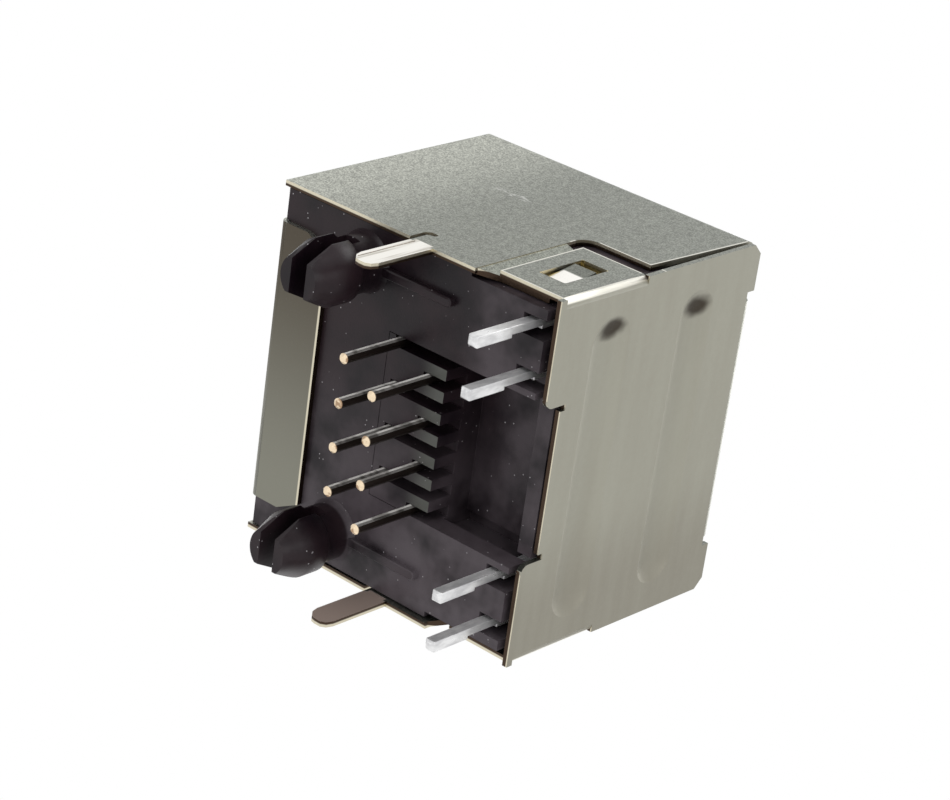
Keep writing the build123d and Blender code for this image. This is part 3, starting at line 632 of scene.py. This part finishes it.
@dataclass(frozen=True)
class ContactWire:
    """Spring wire: tinned tail with a painted highlight along its +X side and painted shade on its +Y side,
    warm cut tip, gold where it meets the plug.
    """

    tin: Colour = (0.50, 0.48, 0.45)
    tin_painted_highlight: Colour = (1.00, 0.98, 0.94)
    tin_painted_shade: Colour = (0.055, 0.042, 0.036)
    tip: Colour = (0.82, 0.67, 0.48)
    tip_core: Colour = (0.40, 0.27, 0.17)
    gold: Colour = (0.80, 0.56, 0.20)
    tip_height: float = 0.14
    gold_height: float = 2.0
    flank_least: float = 0.45
    painted_highlight_diffuse_share: float = 0.9

    def build(self) -> bpy.types.Material:
        """Lays tip, tail and gold along the wire.

        Returns:
            The wire's material.
        """
        material, graph = new_material("contact_wire")
        low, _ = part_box("contact_1")
        place = graph.place()
        _, _, pz = graph.axes(place)
        nx, ny, _ = graph.axes(graph.facing())
        worn = graph.noise(place, grain=0.9, detail=2.0)
        patchy = graph.noise(place, grain=0.40, detail=2.0)
        tip = pz.below(low.z + self.tip_height * MM, blend=0.06 * MM)
        gold = pz.above(self.gold_height * MM, blend=0.3 * MM)
        # Painted highlight along the +X side, broken into streaks by the noise, and painted shade on the +Y
        # side; the highlight is made less metallic so that it reads brighter.
        least = self.flank_least
        streaks = least + (1.0 - least) * worn.above(edge=0.45, blend=0.14)
        flank = nx.above(edge=0.88, blend=0.16) * streaks
        tin = graph.mix(ny.above(edge=0.40, blend=0.30), self.tin, self.tin_painted_shade)
        tin = graph.mix(flank, tin, self.tin_painted_highlight)
        end = graph.mix(patchy.above(edge=0.56, blend=0.10), self.tip, self.tip_core)
        base = graph.mix(gold, graph.mix(tip, tin, end), self.gold)
        metallic = 1.0 - self.painted_highlight_diffuse_share * flank
        inputs = {"Base Color": base, "Metallic": metallic, "Roughness": 0.32 + 0.10 * worn}
        graph.surface(graph.add("ShaderNodeBsdfPrincipled", None, inputs))
        return material


@dataclass(frozen=True)
class TinnedLead:
    """Bright tin over a square lead, slightly uneven where the bath ran off."""

    bright: Colour = (0.92, 0.92, 0.92)
    dull: Colour = (0.58, 0.58, 0.59)
    metal: float = 0.55

    def build(self) -> bpy.types.Material:
        """Mixes bright and dull tin in runs along the lead.

        Returns:
            The lead's material.
        """
        material, graph = new_material("tinned_lead")
        place = graph.place()
        run = graph.noise(graph.stretched(place, (1.0, 1.0, 0.35)), grain=0.45, detail=3.0)
        base = graph.mix(run.above(edge=0.52, blend=0.4), self.bright, self.dull)
        bump = graph.bump(run, depth=0.012)
        rough = 0.20 + 0.20 * run
        inputs = {"Base Color": base, "Metallic": self.metal, "Roughness": rough, "Normal": bump}
        graph.surface(graph.add("ShaderNodeBsdfPrincipled", None, inputs))
        return material


@dataclass(frozen=True)
class LampResin:
    """Tinted cast resin of an indicator lamp."""

    name: str
    tint: Colour
    deep: Colour
    clearness: float = 0.35
    index: float = 1.52
    coat: float = 0.2

    def build(self) -> bpy.types.Material:
        """Clouds the tint.

        Returns:
            The resin's material.
        """
        material, graph = new_material(self.name)
        place = graph.place()
        cloud = graph.noise(place, grain=1.2, detail=2.0)
        base = graph.mix(cloud.above(edge=0.5, blend=0.5), self.tint, self.deep)
        inputs = {
            "Base Color": base,
            "Roughness": 0.22 + 0.12 * cloud,
            "Transmission Weight": self.clearness,
            "IOR": self.index,
            "Coat Weight": self.coat,
        }
        graph.surface(graph.add("ShaderNodeBsdfPrincipled", None, inputs))
        return material


@dataclass
class EdgeWork:
    """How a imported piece's corners are joined and softened; lengths in millimetres, angle in degrees."""

    rim: float
    angle: float = 38.0
    segments: int = 2
    join: float = 0.001
    rim_slot: int = -1

    def apply(self, piece: bpy.types.Object) -> None:
        """Adds the modifiers to one piece.

        Args:
            piece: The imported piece; its own mesh is left alone.
        """
        weld = piece.modifiers.new("join", "WELD")
        weld.merge_threshold = self.join * MM
        bevel = piece.modifiers.new("rim", "BEVEL")
        bevel.width = self.rim * MM
        bevel.segments = self.segments
        bevel.limit_method = "ANGLE"
        bevel.angle_limit = math.radians(self.angle)
        bevel.affect = "EDGES"
        bevel.material = self.rim_slot
        bevel.use_clamp_overlap = True


def dress(node: str, materials: Sequence[bpy.types.Material], edges: Optional[EdgeWork] = None) -> None:
    """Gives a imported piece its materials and, where asked, its softened corners.

    Args:
        node: The piece's name.
        materials: The finish of the whole piece, then the one of its rims.
        edges: The edge work, or None to leave the corners as they are.
    """
    piece = NODES[node]
    piece.data.materials.clear()
    for material in materials:
        piece.data.materials.append(material)
    for polygon in piece.data.polygons:
        polygon.material_index = 0
    if edges is not None:
        edges.apply(piece)
    LOG.info("dressed %s with %s", node, ", ".join(m.name for m in materials))


@dataclass
class Can:
    """The folded shield with its latched rear cover."""

    rim: float = 0.042

    def dress(self) -> None:
        """Plates the sheet and burnishes its die-cut rims."""
        finish = [NickelSheet().build(), DieCutRim().build()]
        dress("shield", finish, EdgeWork(self.rim, rim_slot=1))


@dataclass
class Mouldings:
    """The housing and the contact carrier inside it."""

    corner: float = 0.030
    comb_y: Span = (4.40, 5.34)

    def dress(self) -> None:
        """Finishes both mouldings in black."""
        dress("housing", [BlackMoulding().build()], EdgeWork(self.corner))
        carrier = BlackMoulding("black_moulding_carrier", comb_highlight_y=self.comb_y)
        dress("contact_carrier", [carrier.build()], EdgeWork(self.corner))


@dataclass
class ContactSet:
    """The eight spring wires."""

    count: int = 8

    def dress(self) -> None:
        """Plates every wire."""
        wire = ContactWire().build()
        for index in range(self.count):
            dress(f"contact_{index + 1}", [wire], EdgeWork(rim=0.01, angle=50.0, segments=1))


@dataclass
class Lamps:
    """The two indicator lamps and their square leads."""

    leads: tuple[str, ...] = ("left_outer", "left_inner", "right_inner", "right_outer")

    def dress(self) -> None:
        """Tints the lamps and tins their leads."""
        green = LampResin("lamp_resin_green", tint=(0.36, 0.66, 0.34), deep=(0.22, 0.52, 0.24))
        amber = LampResin("lamp_resin_amber", tint=(0.86, 0.68, 0.26), deep=(0.74, 0.50, 0.14))
        dress("led_left", [green.build()], EdgeWork(rim=0.04))
        dress("led_right", [amber.build()], EdgeWork(rim=0.04))
        tin = TinnedLead().build()
        for lead in self.leads:
            dress(f"led_lead_{lead}", [tin], EdgeWork(rim=0.035))


@dataclass
class SoftLamp:
    """A square white studio lamp that looks at the part; metres and watts."""

    name: str
    place: Place
    width: float
    power: float

    def build(self, aim: Vector) -> None:
        """Hangs the lamp.

        Args:
            aim: The point it looks at, in metres.
        """
        data = bpy.data.lights.new(self.name, "AREA")
        data.shape = "SQUARE"
        data.size = self.width
        data.energy = self.power
        lamp = bpy.data.objects.new(self.name, data)
        bpy.context.scene.collection.objects.link(lamp)
        lamp.location = Vector(self.place)
        lamp.rotation_euler = (aim - lamp.location).to_track_quat("-Z", "Y").to_euler()
        lamp.visible_camera = False


@dataclass
class Studio:
    """Plain studio: white surround, pale floor and soft lamps on every side."""

    world_strength: float = 0.62
    floor_radius: float = 0.30
    floor_sides: int = 96
    floor_colour: Colour = (0.86, 0.86, 0.86)

    def build_world(self) -> None:
        """White behind the part and in its reflections, softer as a light."""
        world = bpy.data.worlds.new("surround")
        world.use_nodes = True
        bpy.context.scene.world = world
        graph = Graph(world.node_tree)
        rays = graph.add("ShaderNodeLightPath")
        seen = Sock(graph, rays.outputs["Is Camera Ray"])
        seen = seen.larger(Sock(graph, rays.outputs["Is Glossy Ray"]))
        seen = seen.larger(Sock(graph, rays.outputs["Is Transmission Ray"]))
        strength = self.world_strength + (1.0 - self.world_strength) * seen
        white = graph.add("ShaderNodeBackground", None, {"Color": (1.0, 1.0, 1.0, 1.0), "Strength": strength})
        graph.add("ShaderNodeOutputWorld", None, {"Surface": white.outputs[0]})

    def build_floor(self, low: Vector) -> None:
        """A pale disc that shows from above and lets the light through from below.

        Args:
            low: The part's lowest corner, in metres.
        """
        shape = bmesh.new()
        bmesh.ops.create_circle(shape, cap_ends=True, segments=self.floor_sides, radius=self.floor_radius)
        bmesh.ops.translate(shape, verts=shape.verts, vec=(0.0, 0.0, low.z))
        mesh = bpy.data.meshes.new("floor")
        shape.to_mesh(mesh)
        shape.free()
        floor = bpy.data.objects.new("floor", mesh)
        bpy.context.scene.collection.objects.link(floor)
        floor.visible_diffuse = False
        floor.visible_glossy = False
        floor.visible_transmission = False
        floor.visible_shadow = False
        material, graph = new_material("pale_floor")
        x, y, _ = graph.axes(graph.place())
        away = (x * x + y * y).power(0.5)
        back = Sock(graph, graph.add("ShaderNodeNewGeometry").outputs["Backfacing"])
        clear = away.above(edge=0.55 * self.floor_radius, blend=0.6 * self.floor_radius).larger(back)
        pale = graph.add("ShaderNodeBsdfDiffuse", None, {"Color": (*self.floor_colour, 1.0)})
        glass = graph.add("ShaderNodeBsdfTransparent")
        graph.surface(graph.add("ShaderNodeMixShader", None, [clear, pale.outputs[0], glass.outputs[0]]))
        mesh.materials.append(material)

    def build_lamps(self, aim: Vector) -> None:
        """Hangs the soft lamps.

        Args:
            aim: The middle of the part, in metres.
        """
        lamps = (
            SoftLamp("key_side", (0.17, 0.05, 0.20), 0.14, 0.16),
            SoftLamp("rear_fill", (0.08, 0.24, -0.06), 0.14, 0.10),
            SoftLamp("under_fill", (0.03, -0.05, -0.26), 0.14, 0.10),
            SoftLamp("flank_fill", (0.21, 0.07, -0.06), 0.10, 0.07),
            SoftLamp("top_soft", (-0.05, -0.04, 0.28), 0.20, 0.22),
            SoftLamp("front_fill", (-0.12, -0.20, 0.18), 0.16, 0.09),
            SoftLamp("left_fill", (-0.26, 0.02, 0.04), 0.16, 0.10),
        )
        for lamp in lamps:
            lamp.build(aim)

    def build(self) -> None:
        """Sets the whole studio."""
        low, high = CAD_BOX
        self.build_world()
        self.build_floor(low)
        self.build_lamps((low + high) / 2)


@dataclass
class ViewPoint:
    """The camera: behind the jack's +X rear corner and below the board, rolled on its side.

    Places are in metres, the turn in degrees, lens and sensor in millimetres.
    """

    place: Place = (0.05102, 0.07781, -0.08661)
    turn: tuple[float, float, float] = (162.857, -42.803, 80.244)
    lens: float = 111.91
    sensor: float = 36.0
    shift: Span = (0.0474, 0.0084)
    clip: Span = (0.001, 10.0)

    def build(self) -> None:
        """Sets the camera."""
        data = bpy.data.cameras.new("camera")
        data.lens = self.lens
        data.sensor_width = self.sensor
        data.shift_x, data.shift_y = self.shift
        data.clip_start, data.clip_end = self.clip
        camera = bpy.data.objects.new("camera", data)
        camera.location = self.place
        camera.rotation_euler = Euler([math.radians(a) for a in self.turn], "XYZ")
        bpy.context.scene.collection.objects.link(camera)
        bpy.context.scene.camera = camera


def main() -> None:
    """Dresses every piece and sets the studio."""
    logging.basicConfig(level=logging.INFO, format="%(message)s")
    bpy.context.scene.view_settings.view_transform = "Standard"
    for part in (Can(), Mouldings(), ContactSet(), Lamps()):
        part.dress()
        LOG.info("finished %s", type(part).__name__)
    Studio().build()
    ViewPoint().build()


if __name__ == "__main__":
    main()
